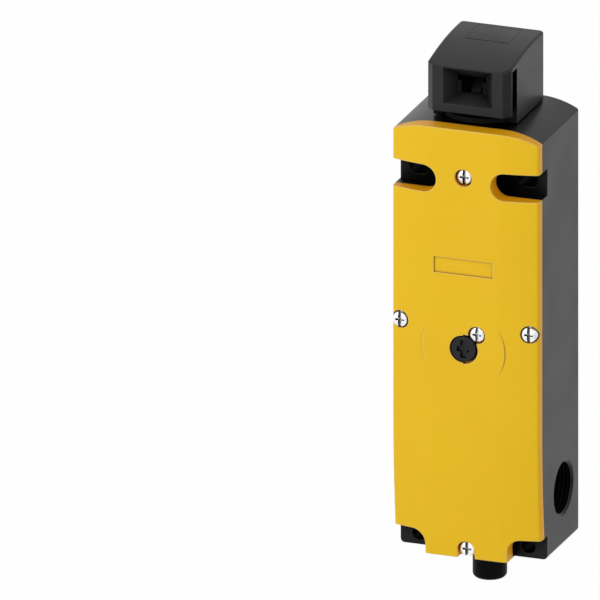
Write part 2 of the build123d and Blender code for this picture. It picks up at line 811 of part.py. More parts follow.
def make_head_base():
    low = crown_height - spigot_depth
    seat = crown_height + head_clearance
    base_ring = rod_z(spigot_radius, 0, swivel_depth, low, seat + 0.1)
    base_ring += rod_z(flange_radius, 0, swivel_depth, seat, seat + flange_thickness)
    groove = rod_z(2 * spigot_radius, 0, swivel_depth, fork_height - fork_thickness / 2 - 0.15,
                   fork_height + fork_thickness / 2 + 0.15)
    groove -= rod_z(spigot_radius - fork_bite, 0, swivel_depth, low, seat)
    base_ring -= groove
    half_groove = head_seal_section / 2 + seat_gap
    groove = rod_z(2 * spigot_radius, 0, swivel_depth, head_seal_height - half_groove,
                   head_seal_height + half_groove)
    groove -= rod_z(spigot_radius - head_seal_section - 2 * seat_gap, 0, swivel_depth, low, seat)
    base_ring -= groove
    base_ring -= rod_z(spigot_bore_radius, 0, swivel_depth, low - 1, seat + flange_thickness + 1)
    cheek = block(cheek_gap / 2, cheek_gap / 2 + cheek_thickness, swivel_depth - cheek_length / 2,
                  swivel_depth + cheek_length / 2 - 3.0, seat + flange_thickness - 0.2, cheek_top)
    tops = cheek.edges().filter_by(Axis.X).sort_by(Axis.Z)[-2:]
    cheek = fillet(tops, 5.0)
    cheek &= rod_z(flange_radius, 0, swivel_depth, low, cheek_top + 1)
    base_ring += both_sides(cheek)
    reach = cheek_gap
    return base_ring - rod_x(axle_radius + axle_gap, -reach, reach, swivel_depth, cam_height)


def make_head_seal():
    plane = Plane(origin=(0, -swivel_depth, up(head_seal_height)))
    return plane * Torus(spigot_radius - head_seal_section / 2, head_seal_section / 2)


def make_head_fork():
    half = fork_width / 2
    low = fork_height - fork_thickness / 2
    high = fork_height + fork_thickness / 2
    front = parting_depth - 0.4
    bite = spigot_radius - fork_bite + 0.1
    fork = block(-half, half, fork_back, front, low, high)
    return fork - block(-bite, bite, fork_back - 1, swivel_depth, low - 1, high + 1) - rod_z(
        bite, 0, swivel_depth, low - 1, high + 1)


def track_radius(angle):
    """Cam track radius that just clears the plunger's round tip as both move."""
    start = cam_track_radius + plunger_radius + cam_gap
    reach = plunger_radius + cam_gap
    radius = cam_track_radius
    steps = 20
    for step in range(steps + 1):
        turn = cam_turn * step / steps
        distance = start - plunger_stroke * step / steps
        aside = distance * sin(radians(angle - turn))
        if abs(aside) < reach and cos(radians(angle - turn)) > 0:
            near = distance * cos(radians(angle - turn)) - sqrt(reach ** 2 - aside ** 2)
            radius = min(radius, near)
    return radius


def make_cam_wheel():
    track_start = -20.0
    track_end = 62.0
    steps = 20
    curve = []
    for step in range(steps + 1):
        angle = track_start + (track_end - track_start) * step / steps
        place = radians(270 + angle)
        radius = track_radius(angle)
        curve.append((radius * cos(place), radius * sin(place)))
    end_angle = radians(270 + track_end)
    start_angle = radians(270 + track_start)
    middle = (end_angle + start_angle + 2 * pi) / 2
    outer_middle = (cam_track_radius * cos(middle), cam_track_radius * sin(middle))
    with BuildSketch() as track:
        with BuildLine():
            spiral = Spline(*curve)
            ThreePointArc(spiral @ 1, outer_middle, spiral @ 0)
        make_face()
    disc = Circle(cam_disc_radius)
    reach = cam_disc_radius - notch_floor_radius
    for angle in (notch_front_angle, notch_top_angle):
        notch = Pos(notch_floor_radius + notch_width / 2, 0) * Circle(notch_width / 2)
        notch += Pos(notch_floor_radius + notch_width / 2 + reach / 2, 0) * Rectangle(reach, notch_width)
        disc -= Rot(0, 0, angle) * notch
    centre = Pos(-swivel_depth, up(cam_height))
    half_track = cam_track_width / 2
    wheel = extrude(Plane.YZ.offset(-half_track) * centre * track.sketch, amount=cam_track_width)
    one = extrude(Plane.YZ.offset(cam_disc_inner_x) * centre * disc,
                  amount=cam_disc_outer_x - cam_disc_inner_x)
    wheel += both_sides(one)
    wheel += rod_x(cam_hub_radius, -cam_disc_outer_x, cam_disc_outer_x, swivel_depth, cam_height)
    wheel += rod_x(cam_collar_radius, -cam_collar_width / 2, cam_collar_width / 2, swivel_depth, cam_height)
    reach = cam_collar_width
    return wheel - rod_x(axle_radius + axle_gap, -reach, reach, swivel_depth, cam_height)


def make_cam_axle():
    end = cheek_gap / 2 + cheek_thickness + 0.1
    axle = rod_x(axle_radius, -end, end, swivel_depth, cam_height)
    for side in (-1, 1):
        near = side * end
        far = near + side * axle_head_thickness
        axle += rod_x(axle_head_radius, min(near, far), max(near, far), swivel_depth, cam_height)
    return axle


def coil_spring(radius, wire, height, turns):
    """Round-wire helix standing on the XY plane, with its wire inside the height."""
    pitch = (height - 2 * wire) / turns
    path = Helix(pitch=pitch, height=height - 2 * wire, radius=radius)
    section = Plane(origin=path @ 0, z_dir=path % 0) * Circle(wire)
    return Pos(0, 0, wire) * sweep(section, path=path.edge())


def make_cam_spring():
    room = (cheek_gap / 2 - cam_disc_outer_x) - 0.2
    spring = coil_spring(cam_spring_radius, cam_spring_wire, room, cam_spring_turns)
    plane = Plane(origin=(cam_disc_outer_x + 0.1, -swivel_depth, up(cam_height)), z_dir=(1, 0, 0))
    return plane * spring


def make_plunger():
    tip = cam_height - cam_track_radius - cam_gap
    plunger = rod_z(plunger_radius, 0, swivel_depth, collar_height + collar_thickness + neck_above,
                    tip - plunger_radius)
    plunger += Pos(0, -swivel_depth, up(tip - plunger_radius)) * Sphere(plunger_radius)
    foot_top = collar_height - neck_below
    plunger += rod_z(neck_radius, 0, swivel_depth, foot_top - foot_thickness - tail_length,
                     collar_height + collar_thickness + neck_above + 0.5)
    plunger += rod_z(collar_radius, 0, swivel_depth, collar_height, collar_height + collar_thickness)
    plunger += rod_z(collar_radius, 0, swivel_depth, foot_top - foot_thickness, foot_top)
    for bottom in bridge_heights():
        slot = rod_z(2 * plunger_radius, 0, swivel_depth, bottom, bottom + bridge_thickness)
        slot &= block(-bridge_width, bridge_width, swivel_depth - bridge_depth / 2,
                      swivel_depth + bridge_depth / 2, bottom, bottom + bridge_thickness)
        plunger -= slot - rod_z(bridge_bore_radius, 0, swivel_depth, bottom, bottom + bridge_thickness)
    return plunger


def bridge_heights():
    """Undersides of the two contact bridges at rest."""
    lower = block_bottom + window_gap
    upper = lower + window_height + window_gap
    made = lower + contact_thickness + contact_button_height + bridge_play
    broken = upper + window_height - contact_thickness - contact_button_height - bridge_play
    return [made, broken - bridge_thickness - plunger_stroke]


def make_bridges():
    """Contact bridges, which ride in cross slots of the plunger."""
    bridges = []
    for bottom in bridge_heights():
        top = bottom + bridge_thickness
        bar = block(-bridge_width / 2, bridge_width / 2, swivel_depth - bridge_depth / 2,
                    swivel_depth + bridge_depth / 2, bottom, top)
        bar -= rod_z(bridge_bore_radius + seat_gap, 0, swivel_depth, bottom - 1, top + 1)
        bridges.append(bar)
    return bridges


def make_fixed_contacts():
    """Fixed contact strips with their buttons, one at each end of each window."""
    strips = []
    inner = bridge_width / 2 - contact_width
    outer = block_width / 2 + 0.01
    lower = block_bottom + window_gap
    upper = lower + window_height + window_gap
    for low, button_up in ((lower, True), (upper + window_height - contact_thickness, False)):
        for side in (-1, 1):
            left, right = sorted((side * inner, side * outer))
            strip = block(left, right, swivel_depth - contact_width / 2, swivel_depth + contact_width / 2,
                          low, low + contact_thickness)
            x = side * (inner + contact_width / 2)
            if button_up:
                strip += rod_z(contact_button_radius, x, swivel_depth, low,
                               low + contact_thickness + contact_button_height)
            else:
                strip += rod_z(contact_button_radius, x, swivel_depth, low - contact_button_height, low)
            strips.append(strip)
    return strips


def block_feet():
    """Standoffs of the contact block as X and height."""
    return [(-15.0, block_bottom + 4.0), (15.0, block_top - 4.0)]


def make_contact_block():
    body = block(-block_width / 2, block_width / 2, block_back, block_front, block_bottom, block_top)
    body = chamfer(body.edges().filter_by(Axis.Y), 0.8)
    lower = block_bottom + window_gap
    upper = lower + window_height + window_gap
    for low in (lower, upper):
        body -= block(-window_width / 2, window_width / 2, swivel_depth - bridge_depth / 2 - 1,
                      block_front + 1, low, low + window_height)
    body -= rod_z(plunger_radius + plunger_gap, 0, swivel_depth, 0, block_top + 1)
    for strip_low in (lower, upper + window_height - contact_thickness):
        body -= block(-block_width, block_width, swivel_depth - contact_width / 2,
                      swivel_depth + contact_width / 2, strip_low, strip_low + contact_thickness)
    for x, height in terminal_places():
        body -= rod_y(terminal_screw_radius + axle_gap, x, height,
                      block_front - terminal_head_height - 1.1 * terminal_screw_length, block_front + 1)
        body -= rod_y(terminal_head_radius + 0.2, x, height,
                      block_front - terminal_head_height, block_front + 1)
    return body


def terminal_places():
    lower = block_bottom + window_gap
    upper = lower + window_height + window_gap
    return [(side * terminal_x, low + window_height / 2) for low in (lower, upper) for side in (-1, 1)]


def make_terminal_screws():
    screws = []
    for x, height in terminal_places():
        seat = block_front - terminal_head_height
        screw = rod_y(terminal_head_radius, x, height, seat, block_front)
        screw += rod_y(terminal_screw_radius, x, height,
                        seat - terminal_screw_length, seat)
        slot = Pos(x, up(height)) * Rectangle(0.7, 2 * terminal_head_radius + 1)
        screws.append(screw - front_prism(slot, block_front - 0.8, block_front + 1))
    return screws


def slide_low():
    """Underside of the lock slide: midway between the collar's two places."""
    room = plunger_stroke - collar_thickness
    return collar_height + collar_thickness + (room - slide_thickness) / 2


def make_lock_slide():
    low = slide_low()
    high = low + slide_thickness
    half = slide_width / 2
    tip = swivel_depth - collar_radius - fork_tip_gap
    plate = block(-half, half, slide_back, tip, low, high)
    slot_half = neck_radius + 0.25
    reach = swivel_depth - lock_stroke
    plate -= block(-slot_half, slot_half, reach, face_depth, low - 1, high + 1)
    plate -= rod_z(slot_half, 0, reach, low - 1, high + 1)
    tab = block(half - slide_tab_thickness, half, slide_back, slide_tab_front, low - slide_tab_drop, high)
    plate += both_sides(tab)
    middle_y = -(solenoid_depth - lock_stroke / 2)
    middle_z = up(armature_pin_height + lock_stroke / 2)
    slot = Pos(middle_y, middle_z) * Rot(0, 0, 45) * SlotCenterToCenter(lock_stroke * sqrt(2),
                                                                       2 * slide_slot_radius)
    cut = extrude(Plane.YZ.offset(-slide_width) * slot, amount=2 * slide_width)
    plate -= cut
    return plate


def make_bracket():
    """Channel that guides the lock slide and carries the plunger's tail and spring."""
    inner = slide_width / 2 + bracket_side_gap
    outer = inner + bracket_wall
    low = yoke_top
    high = slide_low() + slide_thickness + 0.3 + bracket_wall
    back = solenoid_depth - yoke_depth / 2
    side = block(inner, outer, back, bracket_front, low, high)
    rail = block(inner - bracket_wall, inner + 0.1, back, slide_tab_front, high - bracket_wall, high)
    bracket = both_sides(side) + both_sides(rail)
    shelf = spring_floor()
    bracket += block(-inner - 0.1, inner + 0.1, swivel_depth - collar_radius + 0.2, bracket_front,
                     shelf - bracket_wall, shelf)
    return bracket - rod_z(neck_radius + plunger_gap, 0, swivel_depth, 0, shelf + 1)


def spring_floor():
    return collar_height - neck_below - foot_thickness - plunger_spring_room


def make_plunger_spring():
    height = plunger_spring_room - 0.1
    spring = coil_spring(plunger_spring_radius, plunger_spring_wire, height, plunger_spring_turns)
    return Pos(0, -swivel_depth, up(spring_floor()) + 0.05) * spring


def make_yoke():
    half = yoke_width / 2
    back = solenoid_depth - yoke_depth / 2
    front = solenoid_depth + yoke_depth / 2
    frame = block(-half, half, back, front, yoke_bottom, yoke_top)
    frame -= block(-half + yoke_wall, half - yoke_wall, back - 1, front + 1, yoke_bottom + yoke_wall,
                   yoke_top - yoke_wall)
    return frame - rod_z(armature_radius + armature_gap, 0, solenoid_depth, yoke_bottom - 1, yoke_top + 1)


def armature_bottom():
    return (yoke_bottom + yoke_top) / 2 - 4.0


def make_bobbin():
    low = yoke_bottom + yoke_wall
    high = yoke_top - yoke_wall
    tube = armature_radius + armature_gap + bobbin_wall
    bobbin = rod_z(tube, 0, solenoid_depth, low, high)
    for start in (low, high - bobbin_flange):
        bobbin += rod_z(coil_radius + 0.4, 0, solenoid_depth, start, start + bobbin_flange)
    return bobbin - rod_z(armature_radius + armature_gap, 0, solenoid_depth, low - 1, high + 1)


def make_coil():
    low = yoke_bottom + yoke_wall + bobbin_flange + seat_gap
    high = yoke_top - yoke_wall - bobbin_flange - seat_gap
    coil = rod_z(coil_radius, 0, solenoid_depth, low, high)
    return coil - rod_z(armature_radius + armature_gap + bobbin_wall + seat_gap, 0, solenoid_depth,
                        low - 1, high + 1)


def make_core():
    top = armature_bottom() - core_gap
    core = rod_z(armature_radius + armature_gap - seat_gap, 0, solenoid_depth, yoke_bottom, top)
    return core + rod_z(armature_radius + 2.0, 0, solenoid_depth, yoke_bottom - 1.2, yoke_bottom)


def make_armature():
    rod_top = armature_pin_height + 2.4
    armature = rod_z(armature_radius, 0, solenoid_depth, armature_bottom(), yoke_top + 1.5)
    armature += rod_z(armature_rod_radius, 0, solenoid_depth, yoke_top, rod_top)
    armature -= rod_z(armature_spring_bore, 0, solenoid_depth, 0, armature_bottom() + armature_spring_room)
    return armature - rod_x(armature_pin_radius + seat_gap, -5, 5, solenoid_depth, armature_pin_height)


def make_armature_spring():
    low = armature_bottom() - core_gap + 0.05
    height = core_gap + armature_spring_room - 0.1
    spring = coil_spring(armature_spring_radius, armature_spring_wire, height, armature_spring_turns)
    return Pos(0, -solenoid_depth, up(low)) * spring


def make_armature_pin():
    end = slide_width / 2 - 0.1
    return rod_x(armature_pin_radius, -end, end, solenoid_depth, armature_pin_height)


def save(name, shape):
    solids = shape if isinstance(shape, list) else shape.solids()
    one = solids[0] if len(solids) == 1 else Compound(children=list(solids))
    one.label = name
    export_step(one, os.path.join("parts", name + ".step"))


def main():
    os.makedirs("parts", exist_ok=True)
    hood, hood_outer = make_hood()
    shell, insert, pins, nut, seal = make_connector()
    pieces = {
        "housing": make_housing(),
        "cover": make_cover(),
        "cover_gasket": make_gasket(),
        "cover_screws": make_cover_screws(),
        "seal_screw": make_seal_screw(),
        "threaded_inserts": make_inserts(),
        "release_knob": make_release_knob(),
        "release_seal": make_release_seal(),
        "release_clip": make_release_clip(),
        "connector_shell": shell,
        "connector_insert": insert,
        "connector_pins": pins,
        "connector_nut": nut,
        "connector_seal": seal,
        "head_hood": hood,
        "head_base": make_head_base(),
        "head_seal": make_head_seal(),
        "head_fork": make_head_fork(),
        "top_plug": make_top_plug(hood_outer),
        "guide_plate": make_guide_plate(),
        "cam_wheel": make_cam_wheel(),
        "cam_axle": make_cam_axle(),
        "cam_spring": make_cam_spring(),
        "plunger": make_plunger(),
        "plunger_spring": make_plunger_spring(),
        "contact_bridges": make_bridges(),
        "fixed_contacts": make_fixed_contacts(),
        "contact_block": make_contact_block(),
        "terminal_screws": make_terminal_screws(),
        "lock_slide": make_lock_slide(),
        "slide_bracket": make_bracket(),
        "solenoid_yoke": make_yoke(),
        "coil_bobbin": make_bobbin(),
        "coil_winding": make_coil(),
        "solenoid_core": make_core(),
        "armature": make_armature(),
        "armature_pin": make_armature_pin(),
        "armature_spring": make_armature_spring(),
    }
    for name, shape in pieces.items():
        save(name, shape)


main()
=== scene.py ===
import bpy
import bmesh
import json
from math import pi, radians
from mathutils import Matrix, Vector


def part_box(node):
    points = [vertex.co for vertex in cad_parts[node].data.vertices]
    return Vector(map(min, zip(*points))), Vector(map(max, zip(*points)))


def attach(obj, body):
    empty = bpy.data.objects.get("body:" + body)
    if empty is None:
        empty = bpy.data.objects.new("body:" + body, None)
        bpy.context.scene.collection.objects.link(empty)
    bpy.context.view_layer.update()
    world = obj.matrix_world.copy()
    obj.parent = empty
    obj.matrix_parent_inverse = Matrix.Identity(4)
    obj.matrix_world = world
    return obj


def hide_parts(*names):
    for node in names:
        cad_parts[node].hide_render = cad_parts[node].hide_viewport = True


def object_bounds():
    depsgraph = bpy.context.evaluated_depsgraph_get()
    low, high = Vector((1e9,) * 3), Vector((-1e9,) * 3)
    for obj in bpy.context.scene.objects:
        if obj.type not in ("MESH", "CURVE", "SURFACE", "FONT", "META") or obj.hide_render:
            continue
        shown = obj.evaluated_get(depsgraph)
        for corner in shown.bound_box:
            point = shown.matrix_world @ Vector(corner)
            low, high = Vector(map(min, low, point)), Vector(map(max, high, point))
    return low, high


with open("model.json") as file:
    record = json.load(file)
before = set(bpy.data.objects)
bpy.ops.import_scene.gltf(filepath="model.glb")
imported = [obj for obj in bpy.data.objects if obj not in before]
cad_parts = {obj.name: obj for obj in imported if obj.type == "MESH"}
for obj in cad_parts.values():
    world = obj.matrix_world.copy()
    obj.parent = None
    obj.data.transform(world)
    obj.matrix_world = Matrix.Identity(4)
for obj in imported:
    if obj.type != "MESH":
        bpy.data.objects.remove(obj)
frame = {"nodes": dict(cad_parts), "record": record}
cadLow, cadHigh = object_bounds()
mm = 0.001
mounts = {mount["name"]: mount for mount in frame["record"]["mounts"]}
print("frame loaded:", len(frame["nodes"]), "nodes")


# Shader node groups that several finishes share

def newGroup(name, inputs, outputs):
    group = bpy.data.node_groups.new(name, "ShaderNodeTree")
    for label, value in inputs:
        socket = group.interface.new_socket(label, in_out="INPUT", socket_type="NodeSocketFloat")
        socket.default_value = value
    for label, kind in outputs:
        group.interface.new_socket(label, in_out="OUTPUT", socket_type=kind)
    start = group.nodes.new("NodeGroupInput")
    end = group.nodes.new("NodeGroupOutput")
    return group, start, end


def addNode(tree, kind, **settings):
    node = tree.nodes.new(kind)
    for name, value in settings.items():
        setattr(node, name, value)
    return node


def feed(tree, socket, value):
    # a socket takes a plain value, or a link from another node's socket
    if isinstance(value, bpy.types.NodeSocket):
        tree.links.new(value, socket)
    else:
        socket.default_value = value


def mathNode(tree, operation, first, second, clamp=False):
    node = addNode(tree, "ShaderNodeMath", operation=operation, use_clamp=clamp)
    feed(tree, node.inputs[0], first)
    feed(tree, node.inputs[1], second)
    return node.outputs[0]


def rangeNode(tree, value, before, after):
    # carries a value from one range over to another
    node = addNode(tree, "ShaderNodeMapRange")
    feed(tree, node.inputs["Value"], value)
    for label, end in zip(("From Min", "From Max", "To Min", "To Max"), (*before, *after)):
        feed(tree, node.inputs[label], end)
    return node.outputs["Result"]


def noiseNode(tree, vector, scale, detail, roughness=0.5):
    node = addNode(tree, "ShaderNodeTexNoise")
    feed(tree, node.inputs["Vector"], vector)
    feed(tree, node.inputs["Scale"], scale)
    feed(tree, node.inputs["Detail"], detail)
    feed(tree, node.inputs["Roughness"], roughness)
    return node.outputs["Fac"]


def makeMouldGrain():
    # fine spark-eroded skin of a moulded part, and slow patches of sheen
    group, start, end = newGroup("mouldGrain", [("Grain", 2600.0), ("Patch", 60.0)],
                                 [("Height", "NodeSocketFloat"), ("Patches", "NodeSocketFloat")])
    coarseShare = 0.37
    place = addNode(group, "ShaderNodeTexCoord").outputs["Object"]
    grain = start.outputs["Grain"]
    coarseGrain = mathNode(group, "MULTIPLY", grain, coarseShare)
    fine = noiseNode(group, place, grain, detail=3.0, roughness=0.6)
    coarse = noiseNode(group, place, coarseGrain, detail=2.0)
    patches = noiseNode(group, place, start.outputs["Patch"], detail=4.0)
    group.links.new(mathNode(group, "ADD", fine, coarse), end.inputs["Height"])
    group.links.new(patches, end.inputs["Patches"])
    return group


def makeRoundedEdge():
    # a rounded edge: its normal, and a mask that is 1 along the edge, where a painted highlight
    # goes
    group, start, end = newGroup("roundedEdge", [("Radius", 0.0003), ("Gain", 4.0)],
                                 [("Normal", "NodeSocketVector"), ("Edge", "NodeSocketFloat")])
    bevel = addNode(group, "ShaderNodeBevel", samples=6)
    group.links.new(start.outputs["Radius"], bevel.inputs["Radius"])
    flat = addNode(group, "ShaderNodeNewGeometry")
    likeness = addNode(group, "ShaderNodeVectorMath", operation="DOT_PRODUCT")
    group.links.new(bevel.outputs["Normal"], likeness.inputs[0])
    group.links.new(flat.outputs["Normal"], likeness.inputs[1])
    turned = mathNode(group, "SUBTRACT", 1.0, likeness.outputs["Value"], clamp=True)
    edge = mathNode(group, "MULTIPLY", turned, start.outputs["Gain"], clamp=True)
    group.links.new(edge, end.inputs["Edge"])
    group.links.new(bevel.outputs["Normal"], end.inputs["Normal"])
    return group


def makeTurnedMarks():
    # rings left by a lathe tool, or drawing lines along a wire, from a stretched noise
    group, start, end = newGroup("turnedMarks", [("Across", 3000.0), ("Along", 60.0)],
                                 [("Height", "NodeSocketFloat"), ("Shade", "NodeSocketFloat")])
    place = addNode(group, "ShaderNodeTexCoord").outputs["Object"]
    stretch = addNode(group, "ShaderNodeCombineXYZ")
    group.links.new(start.outputs["Along"], stretch.inputs["X"])
    group.links.new(start.outputs["Along"], stretch.inputs["Y"])
    group.links.new(start.outputs["Across"], stretch.inputs["Z"])
    scaled = addNode(group, "ShaderNodeVectorMath", operation="MULTIPLY")
    group.links.new(place, scaled.inputs[0])
    group.links.new(stretch.outputs["Vector"], scaled.inputs[1])
    marks = noiseNode(group, scaled.outputs["Vector"], scale=1.0, detail=3.0)
    shade = noiseNode(group, place, scale=180.0, detail=3.0)
    group.links.new(marks, end.inputs["Height"])
    group.links.new(shade, end.inputs["Shade"])
    return group


def makeCreaseMask():
    # Crease is 1 in narrow gaps and sharp inner corners, where the finishes paint shade; Open is 1
    # where nothing stands near
    group, start, end = newGroup("creaseMask", [("Reach", 0.001), ("Low", 0.35), ("High", 0.75)],
                                 [("Crease", "NodeSocketFloat"), ("Open", "NodeSocketFloat")])
    openFrom, openGain = 0.86, 8.0
    around = addNode(group, "ShaderNodeAmbientOcclusion", samples=8)
    group.links.new(start.outputs["Reach"], around.inputs["Distance"])
    daylight = around.outputs["AO"]
    crease = rangeNode(group, daylight, (start.outputs["Low"], start.outputs["High"]), (1.0, 0.0))
    group.links.new(crease, end.inputs["Crease"])
    above = mathNode(group, "SUBTRACT", daylight, openFrom)
    clear = mathNode(group, "MULTIPLY", above, openGain, clamp=True)
    group.links.new(clear, end.inputs["Open"])
    return group


def makeWallMask():
    # 1 on walls that run from front to back, which are given a painted shade, deeper in colour
    # than the face
    group, start, end = newGroup("wallShadeMask", [("Low", 0.25), ("High", 0.7)],
                                 [("Wall", "NodeSocketFloat")])
    facing = addNode(group, "ShaderNodeSeparateXYZ")
    group.links.new(addNode(group, "ShaderNodeTexCoord").outputs["Normal"], facing.inputs[0])
    frontness = mathNode(group, "ABSOLUTE", facing.outputs["Y"], 0.0)
    wall = rangeNode(group, frontness, (start.outputs["Low"], start.outputs["High"]), (1.0, 0.0))
    group.links.new(wall, end.inputs["Wall"])
    return group


mouldGrain = makeMouldGrain()
roundedEdge = makeRoundedEdge()
turnedMarks = makeTurnedMarks()
creaseMask = makeCreaseMask()
wallShadeMask = makeWallMask()
print("shared shader groups made")


# Finishes

def linear(shown):
    # from the 0 to 255 values that a picture shows, by the standard sRGB curve
    shares = [value / 255 for value in shown]
    return tuple(share / 12.92 if share <= 0.04045 else ((share + 0.055) / 1.055) ** 2.4
                 for share in shares) + (1.0,)


def newFinish(name):
    material = bpy.data.materials.new(name)
    material.use_nodes = True
    tree = material.node_tree
    tree.nodes.clear()
    output = addNode(tree, "ShaderNodeOutputMaterial")
    shader = addNode(tree, "ShaderNodeBsdfPrincipled")
    tree.links.new(shader.outputs["BSDF"], output.inputs["Surface"])
    return material, tree, shader


def placeGroup(tree, group, **values):
    node = addNode(tree, "ShaderNodeGroup", node_tree=group)
    for label, value in values.items():
        node.inputs[label].default_value = value
    return node


def mixColour(tree, mask, first, second):
    # a Mix node's colour sockets come after its number and vector ones
    node = addNode(tree, "ShaderNodeMix", data_type="RGBA")
    feed(tree, node.inputs["Factor"], mask)
    feed(tree, node.inputs[6], first)
    feed(tree, node.inputs[7], second)
    return node.outputs[2]


noiseMiddle = (0.35, 0.65)  # where most of a noise texture's values lie


def spread(tree, noise, low, high):
    return rangeNode(tree, noise, noiseMiddle, (low, high))


def addBump(tree, shader, height, edge, look):
    # the fine surface lies over the rounded edges
    bump = addNode(tree, "ShaderNodeBump")
    feed(tree, bump.inputs["Strength"], look["bump"])
    feed(tree, bump.inputs["Distance"], look["bumpDepth"])
    feed(tree, bump.inputs["Height"], height)
    feed(tree, bump.inputs["Normal"], edge.outputs["Normal"])
    tree.links.new(bump.outputs["Normal"], shader.inputs["Normal"])


def mouldedFinish(name, look):
    material, tree, shader = newFinish(name)
    grain = placeGroup(tree, mouldGrain, Grain=look["grain"], Patch=look["patch"])
    edge = placeGroup(tree, roundedEdge, Radius=look["edgeRadius"], Gain=look["edgeGain"])
    patches = spread(tree, grain.outputs["Patches"], 0.0, 1.0)
    colour = mixColour(tree, patches, linear(look["colour"]), linear(look["patchColour"]))
    if "wallShadeColour" in look:
        # painted shade: walls that run from front to back are tinted a deeper orange, as light
        # bounced between yellow walls would make them
        wall = placeGroup(tree, wallShadeMask, Low=0.2, High=0.6)
        colour = mixColour(tree, wall.outputs["Wall"], colour, linear(look["wallShadeColour"]))
    if "paintedShadeColour" in look:
        # painted shade: where little light gets in, the colour is darkened toward near black, and
        # the part is made metallic there so that its sheen goes too
        paintedShadeMask = placeGroup(tree, creaseMask, Reach=look["paintedShadeReach"], Low=0.4, High=0.98)
        shade = paintedShadeMask.outputs["Crease"]
        colour = mixColour(tree, shade, colour, linear(look["paintedShadeColour"]))
        tree.links.new(shade, shader.inputs["Metallic"])
    crease = placeGroup(tree, creaseMask, Reach=look["creaseReach"], Low=0.35,
                        High=look.get("creaseHigh", 0.75))
    # painted highlight: a lighter line along convex edges, kept out of grooves by the Open mask
    edgeHighlight = mathNode(tree, "MULTIPLY", edge.outputs["Edge"], crease.outputs["Open"])
    colour = mixColour(tree, edgeHighlight, colour, linear(look["edgeHighlightColour"]))
    # painted shade: narrow gaps and inner corners are darkened toward the crease shade colour
    colour = mixColour(tree, crease.outputs["Crease"], colour, linear(look["creaseShadeColour"]))
    tree.links.new(colour, shader.inputs["Base Color"])
    roughness = spread(tree, grain.outputs["Patches"], *look["roughness"])
    tree.links.new(roughness, shader.inputs["Roughness"])
    shader.inputs["Specular IOR Level"].default_value = look["specular"]
    addBump(tree, shader, grain.outputs["Height"], edge, look)
    return material


def metalFinish(name, look):
    material, tree, shader = newFinish(name)
    marks = placeGroup(tree, turnedMarks, Across=look["across"], Along=look["along"])
    edge = placeGroup(tree, roundedEdge, Radius=look["edgeRadius"], Gain=look["edgeGain"])
    shade = spread(tree, marks.outputs["Shade"], 0.0, 1.0)
    colour = mixColour(tree, shade, linear(look["colour"]), linear(look["shadeColour"]))
    # painted highlight: a lighter line along the edges
    colour = mixColour(tree, edge.outputs["Edge"], colour, linear(look["edgeHighlightColour"]))
    tree.links.new(colour, shader.inputs["Base Color"])
    roughness = spread(tree, marks.outputs["Height"], *look["roughness"])
    tree.links.new(roughness, shader.inputs["Roughness"])
    shader.inputs["Metallic"].default_value = look["metallic"]
    shader.inputs["Specular IOR Level"].default_value = look.get("specular", 0.5)
    addBump(tree, shader, marks.outputs["Height"], edge, look)
    return material


housingPlastic = mouldedFinish("housingPlastic", {
    "colour": (30, 30, 32), "patchColour": (27, 27, 29), "edgeHighlightColour": (52, 52, 54),
    "creaseShadeColour": (8, 8, 9), "paintedShadeColour": (7, 7, 7),
    "roughness": (0.30, 0.36), "specular": 0.17, "grain": 2400.0, "patch": 45.0,
    "bump": 0.3, "bumpDepth": 0.00003, "edgeRadius": 0.0004, "edgeGain": 2.0,
    "creaseReach": 0.0010, "paintedShadeReach": 0.016})

coverPlastic = mouldedFinish("coverPlastic", {
    "colour": (235, 190, 22), "patchColour": (233, 187, 20), "edgeHighlightColour": (252, 228, 150),
    "creaseShadeColour": (120, 70, 6), "wallShadeColour": (250, 178, 14),
    "roughness": (0.42, 0.50), "specular": 0.26, "grain": 2000.0, "patch": 30.0,
    "bump": 0.25, "bumpDepth": 0.00002, "edgeRadius": 0.0006, "edgeGain": 4.0,
    "creaseReach": 0.0010, "creaseHigh": 0.95})

headPlastic = mouldedFinish("headPlastic", {
    "colour": (43, 44, 45), "patchColour": (40, 41, 42), "edgeHighlightColour": (56, 57, 58),
    "creaseShadeColour": (8, 8, 9), "paintedShadeColour": (14, 14, 14),
    "roughness": (0.33, 0.39), "specular": 0.15, "grain": 2400.0, "patch": 60.0,
    "bump": 0.3, "bumpDepth": 0.00003, "edgeRadius": 0.0003, "edgeGain": 2.0,
    "creaseReach": 0.0010, "paintedShadeReach": 0.009})

knobPlastic = mouldedFinish("knobPlastic", {
    "colour": (40, 40, 42), "patchColour": (36, 36, 39), "edgeHighlightColour": (62, 62, 64),
    "creaseShadeColour": (5, 5, 6),
    "roughness": (0.40, 0.48), "specular": 0.14, "grain": 2800.0, "patch": 90.0,
    "bump": 0.2, "bumpDepth": 0.00002, "edgeRadius": 0.0002, "edgeGain": 2.0,
    "creaseReach": 0.0008})

blackPlastic = mouldedFinish("blackPlastic", {
    "colour": (8, 8, 8), "patchColour": (6, 6, 7), "edgeHighlightColour": (34, 34, 35),
    "creaseShadeColour": (5, 5, 5),
    "roughness": (0.36, 0.44), "specular": 0.05, "grain": 2800.0, "patch": 90.0,
    "bump": 0.2, "bumpDepth": 0.00002, "edgeRadius": 0.0003, "edgeGain": 2.0,
    "creaseReach": 0.0008})

sealRubber = mouldedFinish("sealRubber", {
    "colour": (20, 20, 20), "patchColour": (26, 26, 25), "edgeHighlightColour": (34, 34, 34),
    "creaseShadeColour": (5, 5, 5),
    "roughness": (0.72, 0.86), "specular": 0.12, "grain": 1800.0, "patch": 140.0,
    "bump": 0.4, "bumpDepth": 0.00003, "edgeRadius": 0.0002, "edgeGain": 1.0,
    "creaseReach": 0.0008})

